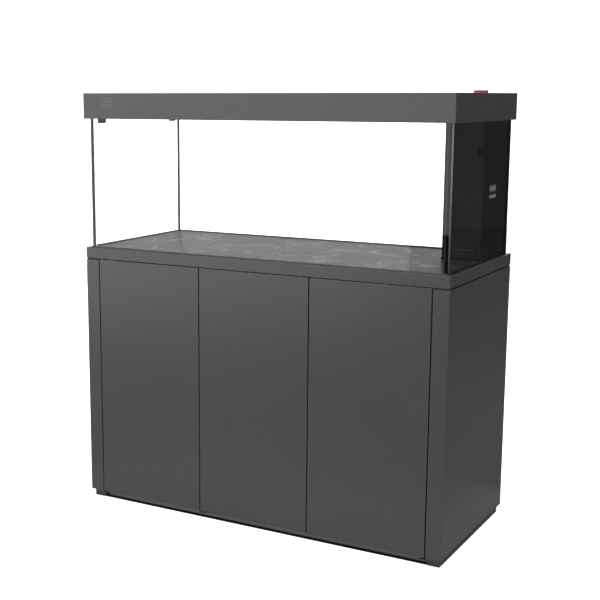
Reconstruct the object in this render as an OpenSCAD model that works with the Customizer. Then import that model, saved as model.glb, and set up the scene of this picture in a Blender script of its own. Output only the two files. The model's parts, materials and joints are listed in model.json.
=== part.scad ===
// Rimless aquarium on a three-door cabinet, with a lift-off lighting hood and a corner filter.
// +X is right, +Y is back and +Z is up. The origin is the middle of the footprint, on the floor.

/* [Overall] */
// Width of the cabinet, stand top and hood
overall_w = 1200; // [1000:10:1500]
// Depth of the cabinet, stand top and hood
overall_d = 530; // [450:10:700]

/* [Base] */
// Height of the base rails and plinths
base_h = 23; // [18:1:60]
// Width of each base rail
rail_w = 37.5; // [25:0.5:60]
// Distance of the outer rails in from the cabinet's sides
rail_inset = 8; // [2:1:15]
// Distance of the rail ends in from the cabinet's front and back
rail_end_inset = 10.5; // [4:0.5:20]
// Distance of the plinth boards in from the cabinet's front and back
plinth_inset = 27.5; // [24:0.5:60]
// Thickness of the sealing strip under the front plinth
seal_t = 2; // [1:0.5:4]
// Distance that the sealing strip's lip reaches out of the plinth
seal_lip = 14.5; // [6:0.5:16]

/* [Cabinet] */
// Height of the cabinet between the base and the stand top
cabinet_h = 761.5; // [600:0.5:900]
// Thickness of the cabinet's boards and doors
board_t = 18; // [15:1:22]
// Width of the fixed stile beside the outer doors
stile_w = 47; // [40:1:80]
// Gap between doors, and between a door and its stile
door_gap = 3.5; // [3.4:0.1:5]
// Gap between the doors and the stand top
door_top_gap = 2; // [1.5:0.5:4]
// Gap between the doors' backs and the boards behind them
door_back_gap = 3; // [2.5:0.5:5]
// Open joint between the side panels and the stand top
shadow_gap = 4; // [2:0.5:8]
// Thickness of the board under the stand top
sub_top_t = 22; // [16:1:30]
// Thickness of the back panel
back_t = 8; // [5:1:12]
// Distance of the back panel in from the cabinet's rear edge
back_inset = 2; // [0:0.5:10]
// Side of the square cleats in the front corners
cleat_w = 20; // [12:1:24]

/* [Cable ports] */
// Radius of the hose and cable opening through each grommet
port_r = 26; // [15:1:32]
// Wall of the grommet's sleeve
grommet_wall = 3; // [2:0.5:4]
// Width of the grommet's flange beyond its sleeve
grommet_flange = 5; // [3:0.5:8]
// Thickness of the grommet's flange
grommet_flange_t = 3; // [2:0.5:4]
// Height of the ports' centres over the cabinet's floor board
port_h = 620; // [300:5:640]
// Distance of the ports' centres from the middle of the cabinet
port_x = 380; // [300:5:400]

/* [Door hardware] */
// Radius of the pivot pins in the doors' corners
pin_r = 2.5; // [2:0.25:3]
// Distance of each pin in from the door's edge and from its front face
pin_inset = 6; // [5:0.5:7]
// Running clearance of pins and plungers, on the radius
running = 0.05; // [0.02:0.01:0.1]
// Length of each pin inside the door
pin_hold = 40; // [25:1:60]
// Radius of the bushes in the stand top
bush_r = 5; // [4:0.25:6]
// Depth of the bushes in the stand top
bush_h = 12; // [8:1:16]
// Width of each lower pivot bracket
bracket_w = 19; // [14:1:30]
// Thickness of each bracket's tongue
bracket_t = 3; // [2:0.5:4]
// Gap between each door and the tongue below it
bracket_gap = 2; // [1.5:0.5:3]
// Radius of the push latches' plungers
plunger_r = 3.5; // [2.5:0.25:5]
// Length of each plunger
plunger_l = 45; // [35:1:60]
// Width and height of each push latch
latch_w = 14; // [12:1:18]
// Length of each push latch
latch_l = 60; // [52:1:80]
// Distance of each latch in from its door's free edge
latch_inset = 40; // [30:1:80]
// Diameter of the doors' soft bumpers
bumper_d = 9; // [6:1:12]

/* [Tank] */
// Distance of the glass in from the stand top's edge
tank_inset = 11.5; // [10:0.5:30]
// Thickness of the upright panes
glass_t = 12; // [8:1:12]
// Height of the upright panes
glass_h = 432; // [380:1:500]
// Thickness of the floor pane
floor_glass_t = 12; // [8:1:15]
// Depth of the seat for the tank in the stand top
seat_depth = 14; // [8:1:16]
// Gap between the glass and the edge of its seat
seat_gap = 1; // [0.5:0.5:2]
// Thickness of the stand top
band_h = 34.5; // [33:0.5:50]
// Thickness of the foam mat under the floor pane
mat_t = 3; // [2:1:5]
// Thickness of the stone-look floor sheet
stone_t = 2; // [1:0.5:4]
// Leg of the silicone fillets along the inside corners
seam = 4; // [2:0.5:8]

/* [Filter] */
// Outer width of the corner filter
filter_w = 110.5; // [105:0.5:140]
// Outer length of the corner filter, front to back
filter_l = 207.5; // [200:0.5:240]
// Thickness of the filter's acrylic walls
acrylic_t = 3; // [2:0.5:4]
// Distance of the filter's top below the glass's top
filter_drop = 15; // [8:1:40]
// Width of the water outlet
outlet_w = 18; // [15:1:20]
// Height of the water outlet
outlet_h = 25; // [20:1:40]
// Height of the outlet's centre over the tank's floor
outlet_z = 309.5; // [200:0.5:340]
// Radius of the riser pipe
riser_r = 9; // [8:0.5:9.5]
// Wall of the riser pipe and of the parts round it
pipe_wall = 2; // [1.5:0.5:2.5]
// Radius of the pump
pump_r = 27; // [20:1:28]
// Height of the pump
pump_h = 56; // [50:1:80]
// Number of impeller blades
blade_count = 6; // [4:1:9]
// Height of the media basket
basket_h = 260; // [150:5:300]
// Number of intake slots in each row
slot_count = 9; // [5:1:12]

/* [Hood] */
// Height of the hood's frame
hood_h = 78; // [70:1:120]
// Distance that the hood reaches down over the glass
hood_overlap = 22; // [14:1:35]
// Thickness of the hood frame's wall
hood_wall = 6; // [5:0.5:6]
// Thickness of the hood's top and flaps
hood_top_t = 5; // [5:0.5:8]
// Width of the frame's inner ledge
ledge_w = 30; // [28:1:40]
// Thickness of the support clips and of the ledge
clip_t = 3; // [2:0.5:4]
// Length of each support clip
clip_l = 41; // [25:1:60]
// Distance of the clips from the front and rear edges of the hood
clip_inset = 44.5; // [30:0.5:80]
// Distance that the clips show below the hood
clip_drop = 15; // [8:1:25]
// Radius of the clips' lower corners
clip_round = 6; // [2:1:10]
// Width of the feeding flap's opening
feed_w = 500; // [200:10:600]
// Depth of the feeding flap's opening
feed_d = 150; // [100:5:160]
// Width of the filter flap's opening
hatch_w = 100; // [80:1:104]
// Depth of the filter flap's opening
hatch_d = 196; // [150:1:200]
// Distance of the filter flap's middle from the hood's right side
hatch_inset = 70; // [68:1:76]
// Gap round each flap
flap_gap = 1.6; // [1.4:0.1:3]
// Radius of the flaps' hinge stubs
stub_r = 1.5; // [1.2:0.1:1.7]
// Width of the red finger pull
pull_w = 41; // [30:1:50]
// Height of the red finger pull over the hood
pull_h = 8; // [5:1:15]
// Width of the rear notch for cables and hoses
notch_w = 80; // [40:5:90]

/* [Light] */
// Width of the light bar
light_d = 80; // [50:1:85]
// Height of the light bar
light_h = 15; // [10:1:20]
// Thickness of the light's lens
lens_t = 3; // [2:0.5:3]

/* [Hidden] */
$fn = 48;
skin = 0.01;
over = 1;

half_w = overall_w / 2;
half_d = overall_d / 2;

// Cabinet
door_count = 3;
band_z = base_h + cabinet_h;
band_top_z = band_z + band_h;
panel_top_z = band_z - shadow_gap;
carcass_y = -half_d + board_t + door_back_gap;
inner_x = half_w - board_t;
back_y = half_d - back_inset - back_t;
door_span = overall_w - 2 * (stile_w + door_gap);
door_w = (door_span - (door_count - 1) * door_gap) / door_count;
door_top_z = band_z - door_top_gap;
seam_x = (door_w + door_gap) / 2;
pivot_y = -half_d + pin_inset;
bay_z = [base_h + board_t, band_z - sub_top_t];
plinth_x = half_w - rail_inset - rail_w;
plinth_y = half_d - plinth_inset;
bracket_z = base_h - bracket_gap - bracket_t;
bracket_reach = 12;
bracket_edge = 1.5;
bracket_room = 1;
pin_tip = 1;
collar_w = 2;
plunger_room = 5;
plunger_gap = 0.3;
bumper_gap = 0.5;
sleeve_r = port_r + grommet_wall;

function door_x(i) = -door_span / 2 + i * (door_w + door_gap);
function hinged_left(i) = i < door_count - 1;
function pivot_x(i) = hinged_left(i) ? door_x(i) + pin_inset : door_x(i) + door_w - pin_inset;
function latch_x(i) = hinged_left(i) ? door_x(i) + door_w - latch_inset : door_x(i) + latch_inset;

// Tank
tank_x = half_w - tank_inset;
tank_y = half_d - tank_inset;
seat_z = band_top_z - seat_depth;
tank_z = seat_z + mat_t;
glass_top_z = tank_z + glass_h;
inside_x = tank_x - glass_t;
inside_y = tank_y - glass_t;
floor_z = tank_z + floor_glass_t + stone_t;

// Filter
filter_x = inside_x - filter_w;
filter_y = inside_y - filter_l;
filter_top_z = glass_top_z - filter_drop;
chamber_x = [filter_x + acrylic_t, inside_x - acrylic_t];
chamber_y = [filter_y + acrylic_t, inside_y - acrylic_t];
fit_gap = 0.1;
pump_gap = [14, 2];
partition_gap = 17;
partition_y = chamber_y[0] + pump_gap[1] + 2 * pump_r + partition_gap;
partition_lift = 40;
partition_drop = 45;
outlet_gap = 1.5;
outlet_x = chamber_x[1] - outlet_w / 2 - outlet_gap;
outlet_mid_z = floor_z + outlet_z;
outlet_wall = 2;
outlet_lip = 1;
outlet_depth = 6;
outlet_back_y = chamber_y[0] + outlet_depth;
vane_y = chamber_y[0] + outlet_lip;
vane_l = 8;
vane_t = 1.5;
vane_pin_r = 1;
riser_gap = 8;
riser_y = chamber_y[0] + riser_r + riser_gap;
socket_wall = 1.2;
socket_r = riser_r + socket_wall;
pump_x = chamber_x[0] + pump_r + pump_gap[0];
pump_y = chamber_y[0] + pump_r + pump_gap[1];
pump_floor_t = 6;
spout_h = 13;
spout_z = floor_z + spout_h;
spout_r = 6;
rotor_r = 16;
rotor_room = 14;
shaft_r = 1.5;
basket_gap = 3;
basket_wall = 2;
basket_y = partition_y + acrylic_t + basket_gap;
basket_lift = 8;
basket_z = floor_z + basket_lift;
media_gap = 1;
slot_w = 3;
slot_h = 24;

// Hood
clip_room = 1;
hood_z = glass_top_z - hood_overlap;
hood_top_z = hood_z + hood_h;
ledge_z = glass_top_z + clip_t;
rebate_wall = hood_wall / 2;
top_gap = 0.5;
deck_z = hood_top_z - hood_top_t;
feed_shift = -100;
feed_inset = 50;
feed_x = [feed_shift - feed_w / 2, feed_shift + feed_w / 2];
feed_y = [-half_d + feed_inset, -half_d + feed_inset + feed_d];
hatch_x = [half_w - hatch_inset - hatch_w / 2, half_w - hatch_inset + hatch_w / 2];
hatch_gap = 5;
hatch_y = [inside_y - hatch_gap - hatch_d, inside_y - hatch_gap];
stub_in = hood_top_t / 2;
stub_l = 6;
notch_inset = 120;
notch_x = [half_w - notch_inset - notch_w, half_w - notch_inset];
pull_d = 14;
pull_draft = 1.2;
stem = [24, 6];
light_gap = 10;
light_y = [hatch_y[0] - light_gap - light_d, hatch_y[0] - light_gap];
light_x = half_w - hood_wall - ledge_w - light_gap;
cap_reach = 22;
gland_r = 5;

board_color = "#55575a";
trim_color = "#2b2b2d";
glass_color = [0.82, 0.92, 0.95, 0.35];

// Box between two values on each axis
module block(x, y, z) {
    translate([x[0], y[0], z[0]])
        cube([x[1] - x[0], y[1] - y[0], z[1] - z[0]]);
}

// Cylinder along Z between two heights
module post(r, z) {
    translate([0, 0, z[0]])
        cylinder(r = r, h = z[1] - z[0]);
}

// ---- Base ----

// Room for the pivot brackets, cut from what stands under the doors
module bracket_pockets() {
    for (i = [0:door_count - 1])
        translate([pivot_x(i), 0, 0])
            block([-bracket_w / 2 - bracket_room, bracket_w / 2 + bracket_room],
                  [-half_d, -plinth_y + bracket_reach + bracket_room],
                  [bracket_z - bracket_room, base_h + over]);
}

module base_rail(side) {
    color(board_color)
        difference() {
            translate([side * (half_w - rail_inset - rail_w / 2), 0, 0])
                block([-rail_w / 2, rail_w / 2],
                      [-half_d + rail_end_inset, half_d - rail_end_inset], [0, base_h]);
            bracket_pockets();
        }
}

module base_rail_left() {
    base_rail(-1);
}

module base_rail_right() {
    base_rail(1);
}

module base_mid_rails() {
    color(trim_color)
        for (side = [-1, 1])
            translate([side * seam_x, 0, 0])
                block([-rail_w / 2, rail_w / 2], [-plinth_y + board_t, plinth_y - board_t],
                      [0, base_h]);
}

module front_plinth() {
    color(trim_color)
        difference() {
            block([-plinth_x, plinth_x], [-plinth_y, -plinth_y + board_t], [seal_t, base_h]);
            bracket_pockets();
        }
}

module rear_plinth() {
    color(trim_color)
        block([-plinth_x, plinth_x], [plinth_y - board_t, plinth_y], [0, base_h]);
}

module plinth_seal() {
    color("#151515")
        block([-plinth_x, plinth_x], [-plinth_y - seal_lip, -plinth_y + board_t], [0, seal_t]);
}

// ---- Cabinet ----

module bottom_panel() {
    color(board_color)
        block([-inner_x, inner_x], [carcass_y, back_y], [base_h, base_h + board_t]);
}

// Side panel with a mitred front edge, drawn for the left side
module side_panel() {
    color(board_color)
        translate([0, 0, base_h])
            linear_extrude(panel_top_z - base_h)
                polygon([[-half_w, -half_d], [-inner_x, -half_d + board_t],
                         [-inner_x, half_d], [-half_w, half_d]]);
}

// Front stile with a mitred outer edge, drawn for the left side
module stile() {
    color(board_color)
        translate([0, 0, base_h])
            linear_extrude(panel_top_z - base_h)
                polygon([[-half_w, -half_d], [-half_w + stile_w, -half_d],
                         [-half_w + stile_w, -half_d + board_t],
                         [-inner_x, -half_d + board_t]]);
}

module left_side_panel() {
    side_panel();
}

module right_side_panel() {
    mirror([1, 0, 0])
        side_panel();
}

module left_stile() {
    stile();
}

module right_stile() {
    mirror([1, 0, 0])
        stile();
}

module corner_cleats() {
    color(board_color)
        for (side = [0, 1])
            mirror([side, 0, 0])
                block([-inner_x, -inner_x + cleat_w],
                      [-half_d + board_t, -half_d + board_t + cleat_w], bay_z);
}

module divider(side) {
    color(board_color)
        translate([side * seam_x, 0, 0])
            block([-board_t / 2, board_t / 2], [carcass_y, back_y], bay_z);
}

module left_divider() {
    divider(-1);
}

module right_divider() {
    divider(1);
}

// Places its children at both cable ports, with +Z turned to the back
module at_ports() {
    for (side = [-1, 1])
        translate([side * port_x, back_y, base_h + board_t + port_h])
            rotate([-90, 0, 0])
                children();
}

module back_panel() {
    color(board_color)
        difference() {
            block([-inner_x, inner_x], [back_y, back_y + back_t], [base_h, panel_top_z]);
            at_ports()
                post(sleeve_r + running, [-over, back_t + over]);
        }
}

module cable_grommets() {
    color(trim_color)
        at_ports()
            difference() {
                union() {
                    post(sleeve_r, [-grommet_flange_t, back_t]);
                    post(sleeve_r + grommet_flange, [-grommet_flange_t, 0]);
                }
                post(port_r, [-grommet_flange_t - over, back_t + over]);
            }
}

module sub_top() {
    color(board_color)
        block([-inner_x, inner_x], [carcass_y, back_y], [bay_z[1], band_z]);
}

// Thick top with a shallow seat that the tank stands in
module stand_top() {
    color(board_color)
        difference() {
            block([-half_w, half_w], [-half_d, half_d], [band_z, band_top_z]);
            block([-tank_x - seat_gap, tank_x + seat_gap], [-tank_y - seat_gap, tank_y + seat_gap],
                  [seat_z, band_top_z + over]);
            for (i = [0:door_count - 1])
                translate([pivot_x(i), pivot_y, 0])
                    post(bush_r + running, [band_z - over, band_z + bush_h]);
        }
}

// ---- Doors and their hardware ----

module door(i) {
    color(board_color)
        difference() {
            block([door_x(i), door_x(i) + door_w], [-half_d, -half_d + board_t],
                  [base_h, door_top_z]);
            translate([pivot_x(i), pivot_y, 0]) {
                post(pin_r + running, [door_top_z - pin_hold, door_top_z + over]);
                post(pin_r + running, [base_h - over, base_h + pin_hold]);
            }
        }
}

module left_door() {
    door(0);
}

module middle_door() {
    door(1);
}

module right_door() {
    door(2);
}

// Upper and lower pivot pin; a collar on the lower one carries the door
module door_pins(i) {
    color("silver")
        translate([pivot_x(i), pivot_y, 0]) {
            post(pin_r, [door_top_z - pin_hold, band_z + bush_h - 2 * pin_tip]);
            post(pin_r, [bracket_z - pin_tip, base_h + pin_hold]);
            post(pin_r + collar_w, [base_h - bracket_gap + fit_gap, base_h]);
        }
}

module left_door_pins() {
    door_pins(0);
}

module middle_door_pins() {
    door_pins(1);
}

module right_door_pins() {
    door_pins(2);
}

module upper_pivot_bushes() {
    color(trim_color)
        for (i = [0:door_count - 1])
            translate([pivot_x(i), pivot_y, 0])
                difference() {
                    post(bush_r, [band_z, band_z + bush_h]);
                    post(pin_r + running, [band_z - over, band_z + bush_h + over]);
                }
}

// Steel tongues under the doors, with a pad against the floor board
module lower_pivot_brackets() {
    color(trim_color)
        for (i = [0:door_count - 1])
            translate([pivot_x(i), 0, 0])
                difference() {
                    union() {
                        block([-bracket_w / 2, bracket_w / 2],
                              [-half_d + bracket_edge, -plinth_y + bracket_reach],
                              [bracket_z, bracket_z + bracket_t]);
                        block([-bracket_w / 2, bracket_w / 2],
                              [carcass_y, -plinth_y + bracket_reach],
                              [bracket_z, base_h]);
                    }
                    translate([0, pivot_y, 0])
                        post(pin_r + running, [bracket_z - over, base_h + over]);
                }
}

// Soft dots on the boards behind each door's free edge
module door_bumpers() {
    color("#d8d8d8")
        for (i = [0:door_count - 1], z = [base_h + board_t / 2, band_z - sub_top_t / 2])
            translate([latch_x(i) - latch_w - bumper_d, carcass_y, z])
                rotate([90, 0, 0])
                    post(bumper_d / 2, [0, door_back_gap - bumper_gap]);
}

// Places its children on the axis of door i's push latch, with +Z turned to the front
module at_latch(i) {
    translate([latch_x(i), carcass_y, bay_z[1] - latch_w / 2])
        rotate([90, 0, 0])
            children();
}

module latch_bodies() {
    color(trim_color)
        for (i = [0:door_count - 1])
            at_latch(i)
                difference() {
                    block([-latch_w / 2, latch_w / 2], [-latch_w / 2, latch_w / 2],
                          [-latch_l, 0]);
                    post(plunger_r + running, [-plunger_l - plunger_room, over]);
                }
}

module latch_plunger(i) {
    color("#e6e6e6")
        at_latch(i)
            post(plunger_r, [door_back_gap - plunger_gap - plunger_l, door_back_gap - plunger_gap]);
}

module left_latch_plunger() {
    latch_plunger(0);
}

module middle_latch_plunger() {
    latch_plunger(1);
}

module right_latch_plunger() {
    latch_plunger(2);
}

// ---- Tank ----

module foam_mat() {
    color("#303030")
        block([-tank_x, tank_x], [-tank_y, tank_y], [seat_z, tank_z]);
}

module floor_glass() {
    color(glass_color)
        block([-inside_x, inside_x], [-inside_y, inside_y], [tank_z, tank_z + floor_glass_t]);
}

module front_glass() {
    color(glass_color)
        block([-tank_x, tank_x], [-tank_y, -inside_y], [tank_z, glass_top_z]);
}

module rear_glass() {
    color(glass_color)
        block([-tank_x, tank_x], [inside_y, tank_y], [tank_z, glass_top_z]);
}

module left_glass() {
    color(glass_color)
        block([-tank_x, -inside_x], [-inside_y, inside_y], [tank_z, glass_top_z]);
}

module right_glass() {
    color(glass_color)
        block([inside_x, tank_x], [-inside_y, inside_y], [tank_z, glass_top_z]);
}

// Triangular fillet along +Z in the corner whose walls run along +X and +Y
module bead(l) {
    linear_extrude(l)
        polygon([[0, 0], [seam, 0], [0, seam]]);
}

// Fillets of the three free corners, and of the floor along the front, the left and the rear
module silicone_seams() {
    color([0.8, 0.82, 0.82, 0.6]) {
        translate([-inside_x, -inside_y, floor_z])
            bead(glass_h - floor_glass_t - stone_t - clip_drop);
        translate([-inside_x, inside_y, floor_z])
            rotate([0, 0, -90])
                bead(glass_h - floor_glass_t - stone_t - clip_drop);
        translate([inside_x, -inside_y, floor_z])
            rotate([0, 0, 90])
                bead(glass_h - floor_glass_t - stone_t - clip_drop);
        translate([-inside_x + seam, -inside_y, floor_z])
            rotate([90, 0, 90])
                bead(2 * (inside_x - seam));
        translate([-inside_x, inside_y - seam, floor_z])
            rotate([90, 0, 0])
                bead(2 * (inside_y - seam));
        translate([filter_x, inside_y, floor_z])
            rotate([90, 0, -90])
                bead(filter_x + inside_x - seam);
    }
}

module stone_floor() {
    color("#7d7f82")
        block([-inside_x, inside_x], [-inside_y, inside_y], [floor_z - stone_t, floor_z]);
}

// ---- Corner filter ----

module filter_front_wall() {
    color(trim_color)
        difference() {
            block([filter_x, inside_x], [filter_y, chamber_y[0]], [floor_z + seam, filter_top_z]);
            translate([outlet_x, 0, outlet_mid_z])
                block([-outlet_w / 2 - fit_gap, outlet_w / 2 + fit_gap],
                      [filter_y - over, chamber_y[0] + over],
                      [-outlet_h / 2 - fit_gap, outlet_h / 2 + fit_gap]);
        }
}

// Wall towards the tank, with a row of intake slots near the surface and one near the floor
module filter_left_wall() {
    slot_pitch = (chamber_y[1] - basket_y) / slot_count;
    slot_z = [floor_z + 14, filter_top_z - 12 - slot_h];
    color(trim_color)
        difference() {
            block([filter_x, chamber_x[0]], [chamber_y[0], inside_y - seam],
                  [floor_z + seam, filter_top_z]);
            for (i = [0:slot_count - 1], z = slot_z)
                translate([filter_x, basket_y + (i + 0.5) * slot_pitch, z])
                    block([-over, acrylic_t + over], [-slot_w / 2, slot_w / 2], [0, slot_h]);
        }
}

// Black liner on the right and rear panes, with an upright groove in its right face and a notch
// round the rear clip
module filter_liner() {
    groove_y = filter_y + 63;
    groove_w = 1.6;
    groove_t = 1;
    groove_z = [[floor_z + 40, floor_z + 152], [floor_z + 220, filter_top_z - 35]];
    color("#1c1c1d")
        difference() {
            block([filter_x, inside_x], [chamber_y[0], inside_y], [floor_z + seam, filter_top_z]);
            block([filter_x - over, chamber_x[1]], [chamber_y[0] - over, chamber_y[1]],
                  [floor_z, filter_top_z + over]);
            block([filter_x - over, chamber_x[0]], [chamber_y[0], inside_y + over],
                  [floor_z, filter_top_z + over]);
            for (z = groove_z)
                block([inside_x - groove_t, inside_x + over],
                      [groove_y - groove_w / 2, groove_y + groove_w / 2], z);
            block([chamber_x[1] - over, inside_x + over],
                  [half_d - clip_inset - clip_l - clip_room, half_d - clip_inset + clip_room],
                  [hood_z - clip_drop - clip_room, filter_top_z + over]);
        }
}

module filter_partition() {
    color(trim_color)
        block(chamber_x, [partition_y, partition_y + acrylic_t],
              [floor_z + partition_lift, filter_top_z - partition_drop]);
}

// Frame through the front wall, bored above and below for the vane's pins
module outlet_port() {
    inner_w = outlet_w - 2 * outlet_wall;
    inner_h = outlet_h - 2 * outlet_wall;
    color("#101010")
        translate([outlet_x, 0, outlet_mid_z])
            difference() {
                block([-outlet_w / 2, outlet_w / 2], [filter_y - outlet_lip, outlet_back_y],
                      [-outlet_h / 2, outlet_h / 2]);
                block([-inner_w / 2, inner_w / 2], [filter_y - outlet_lip - over, outlet_back_y + over],
                      [-inner_h / 2, inner_h / 2]);
                translate([0, vane_y, 0])
                    post(vane_pin_r + running, [-outlet_h / 2 - over, outlet_h / 2 + over]);
            }
}

module outlet_vane() {
    vane_h = outlet_h - 2 * outlet_wall - 0.6;
    color("#202020")
        translate([outlet_x, vane_y, outlet_mid_z]) {
            block([-vane_t / 2, vane_t / 2], [-vane_l / 2, vane_l / 2],
                  [-vane_h / 2, vane_h / 2]);
            post(vane_pin_r, [-outlet_h / 2 + 0.3, outlet_h / 2 - 0.3]);
        }
}

// Upright pipe from the pump's socket to the back of the outlet
module riser_pipe() {
    bore_r = riser_r - pipe_wall;
    bottom_z = spout_z + spout_r + pipe_wall;
    top_z = outlet_mid_z + riser_r;
    color(trim_color)
        difference() {
            union() {
                translate([outlet_x, riser_y, 0])
                    post(riser_r, [bottom_z, top_z]);
                translate([outlet_x, outlet_back_y, outlet_mid_z])
                    rotate([-90, 0, 0])
                        post(riser_r, [0, riser_y - outlet_back_y]);
            }
            translate([outlet_x, riser_y, 0])
                post(bore_r, [bottom_z - over, top_z - pipe_wall]);
            translate([outlet_x, outlet_back_y, outlet_mid_z])
                rotate([-90, 0, 0])
                    post(bore_r, [-over, riser_y - outlet_back_y]);
        }
}

// Round pump with an intake, a side spout and an upright socket for the riser
module pump_housing() {
    socket_z = [spout_z - spout_r - pipe_wall, spout_z + spout_r + 12];
    socket_bore_z = [spout_z - spout_r + pipe_wall, spout_z + spout_r + pipe_wall + over];
    intake_r = 5;
    rotor_gap = 2;
    hub_z = [13, pump_h - 2 * pump_floor_t - 4];
    color(trim_color)
        difference() {
            union() {
                translate([pump_x, pump_y, 0])
                    post(pump_r, [floor_z, floor_z + pump_h]);
                translate([pump_x, riser_y, spout_z])
                    rotate([0, 90, 0])
                        post(spout_r, [0, outlet_x - pump_x]);
                translate([outlet_x, riser_y, 0])
                    post(socket_r, socket_z);
            }
            translate([pump_x, pump_y, floor_z + pump_floor_t]) {
                post(rotor_r + rotor_gap, [0, rotor_room]);
                post(rotor_r / 2 + rotor_gap, hub_z);
                post(shaft_r + running, [-pump_floor_t + rotor_gap, pump_h - 2 * pump_floor_t]);
            }
            translate([outlet_x, riser_y, 0])
                post(riser_r + running, [spout_z + spout_r + pipe_wall, socket_z[1] + over]);
            translate([outlet_x, riser_y, 0])
                post(riser_r - pipe_wall, socket_bore_z);
            translate([pump_x, riser_y, spout_z])
                rotate([0, 90, 0])
                    post(spout_r - pipe_wall, [0, outlet_x - pump_x]);
            translate([pump_x, pump_y, spout_z])
                rotate([0, -90, 0])
                    post(intake_r, [rotor_r, pump_r + over]);
        }
}

module pump_impeller() {
    hub_z = [2, pump_h - 2 * pump_floor_t - 6];
    shaft_z = [-pump_floor_t + 3, pump_h - 2 * pump_floor_t - 1];
    blade_t = 2;
    blade_z = [2, 12];
    color("#dddddd")
        translate([pump_x, pump_y, floor_z + pump_floor_t]) {
            post(rotor_r / 2, hub_z);
            post(shaft_r, shaft_z);
            for (i = [0:blade_count - 1])
                rotate([0, 0, i * 360 / blade_count])
                    block([rotor_r / 2 - over, rotor_r], [-blade_t / 2, blade_t / 2], blade_z);
        }
}

// Open basket with a slotted floor
module media_basket() {
    bx = [chamber_x[0] + basket_gap, chamber_x[1] - basket_gap];
    by = [basket_y, chamber_y[1] - basket_gap];
    slot_pitch = (by[1] - by[0]) / slot_count;
    slot_inset = 10;
    color("#3a3a3c")
        difference() {
            block(bx, by, [basket_z, basket_z + basket_h]);
            block([bx[0] + basket_wall, bx[1] - basket_wall],
                  [by[0] + basket_wall, by[1] - basket_wall],
                  [basket_z + basket_wall, basket_z + basket_h + over]);
            for (i = [1:slot_count - 1])
                translate([0, by[0] + i * slot_pitch, 0])
                    block([bx[0] + slot_inset, bx[1] - slot_inset], [-slot_w / 2, slot_w / 2],
                          [basket_z - over, basket_z + basket_wall + over]);
        }
}

module filter_sponge() {
    inset = basket_gap + basket_wall + media_gap;
    fill = 0.7;
    color("#2f6fb0")
        block([chamber_x[0] + inset, chamber_x[1] - inset],
              [basket_y + basket_wall + media_gap, chamber_y[1] - inset],
              [basket_z + basket_wall, basket_z + basket_h * fill]);
}

// ---- Hood ----

// Upright leg of a clip with rounded lower corners, between two heights
module clip_leg(x, z) {
    block(x, [0, clip_l], [z[0] + clip_round, z[1]]);
    block(x, [clip_round, clip_l - clip_round], z);
    for (y = [clip_round, clip_l - clip_round])
        translate([x[0], y, z[0] + clip_round])
            rotate([0, 90, 0])
                cylinder(r = clip_round, h = x[1] - x[0]);
}

// Clips over the side panes that the hood's ledge rests on
module hood_clips() {
    color(board_color)
        for (side = [0, 1], end = [0, 1])
            mirror([side, 0, 0])
                mirror([0, end, 0])
                    translate([0, -half_d + clip_inset, 0]) {
                        block([-tank_x - clip_t, -inside_x + clip_t], [0, clip_l],
                              [glass_top_z, ledge_z]);
                        clip_leg([-inside_x, -inside_x + clip_t],
                                 [hood_z - clip_drop, glass_top_z + skin]);
                        block([-tank_x - clip_t, -tank_x], [0, clip_l],
                              [glass_top_z - filter_drop, glass_top_z + skin]);
                    }
}

// Rectangular frame with an inner ledge, a rebate for the top and a rear notch
module hood_frame() {
    color(board_color)
        difference() {
            block([-half_w, half_w], [-half_d, half_d], [hood_z, hood_top_z]);
            frame_opening(hood_wall, [hood_z - over, ledge_z]);
            frame_opening(hood_wall + ledge_w, [ledge_z - over, ledge_z + clip_t + over]);
            frame_opening(hood_wall, [ledge_z + clip_t, deck_z]);
            frame_opening(rebate_wall, [deck_z, hood_top_z + over]);
            block(notch_x, [half_d - hood_wall - ledge_w - over, half_d + over],
                  [hood_z - over, ledge_z + clip_t + over]);
        }
}

// Space inside a wall of the given width
module frame_opening(wall, z) {
    block([-half_w + wall, half_w - wall], [-half_d + wall, half_d - wall], z);
}

// Bores for a flap's two hinge stubs, along the rear edge of its opening
module stub_bores(x, y) {
    for (side = [0, 1])
        translate([x[side], y[1] - flap_gap - stub_in, hood_top_z - stub_in])
            rotate([0, side == 0 ? -90 : 90, 0])
                post(stub_r + running, [-over, stub_l + over]);
}

module hood_top() {
    x = half_w - rebate_wall - top_gap;
    y = half_d - rebate_wall - top_gap;
    color(board_color)
        difference() {
            block([-x, x], [-y, y], [deck_z, hood_top_z]);
            block(feed_x, feed_y, [deck_z - over, hood_top_z + over]);
            block(hatch_x, hatch_y, [deck_z - over, hood_top_z + over]);
            stub_bores(feed_x, feed_y);
            stub_bores(hatch_x, hatch_y);
        }
}

// Flap plate with hinge stubs at its rear corners
module flap_plate(x, y) {
    block([x[0] + flap_gap, x[1] - flap_gap], [y[0] + flap_gap, y[1] - flap_gap],
          [deck_z, hood_top_z]);
    for (side = [0, 1])
        translate([x[side], y[1] - flap_gap - stub_in, hood_top_z - stub_in])
            rotate([0, side == 0 ? -90 : 90, 0])
                post(stub_r, [-flap_gap - over, stub_l]);
}

module feeding_flap() {
    finger_r = 16;
    color(board_color)
        difference() {
            flap_plate(feed_x, feed_y);
            translate([(feed_x[0] + feed_x[1]) / 2, feed_y[0] + flap_gap, 0])
                post(finger_r, [deck_z - over, hood_top_z + over]);
        }
}

module filter_flap() {
    color(board_color)
        difference() {
            flap_plate(hatch_x, hatch_y);
            translate([(hatch_x[0] + hatch_x[1]) / 2, (hatch_y[0] + hatch_y[1]) / 2, 0])
                block([-stem[0] / 2 - fit_gap, stem[0] / 2 + fit_gap],
                      [-stem[1] / 2 - fit_gap, stem[1] / 2 + fit_gap],
                      [deck_z - over, hood_top_z + over]);
        }
}

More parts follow.
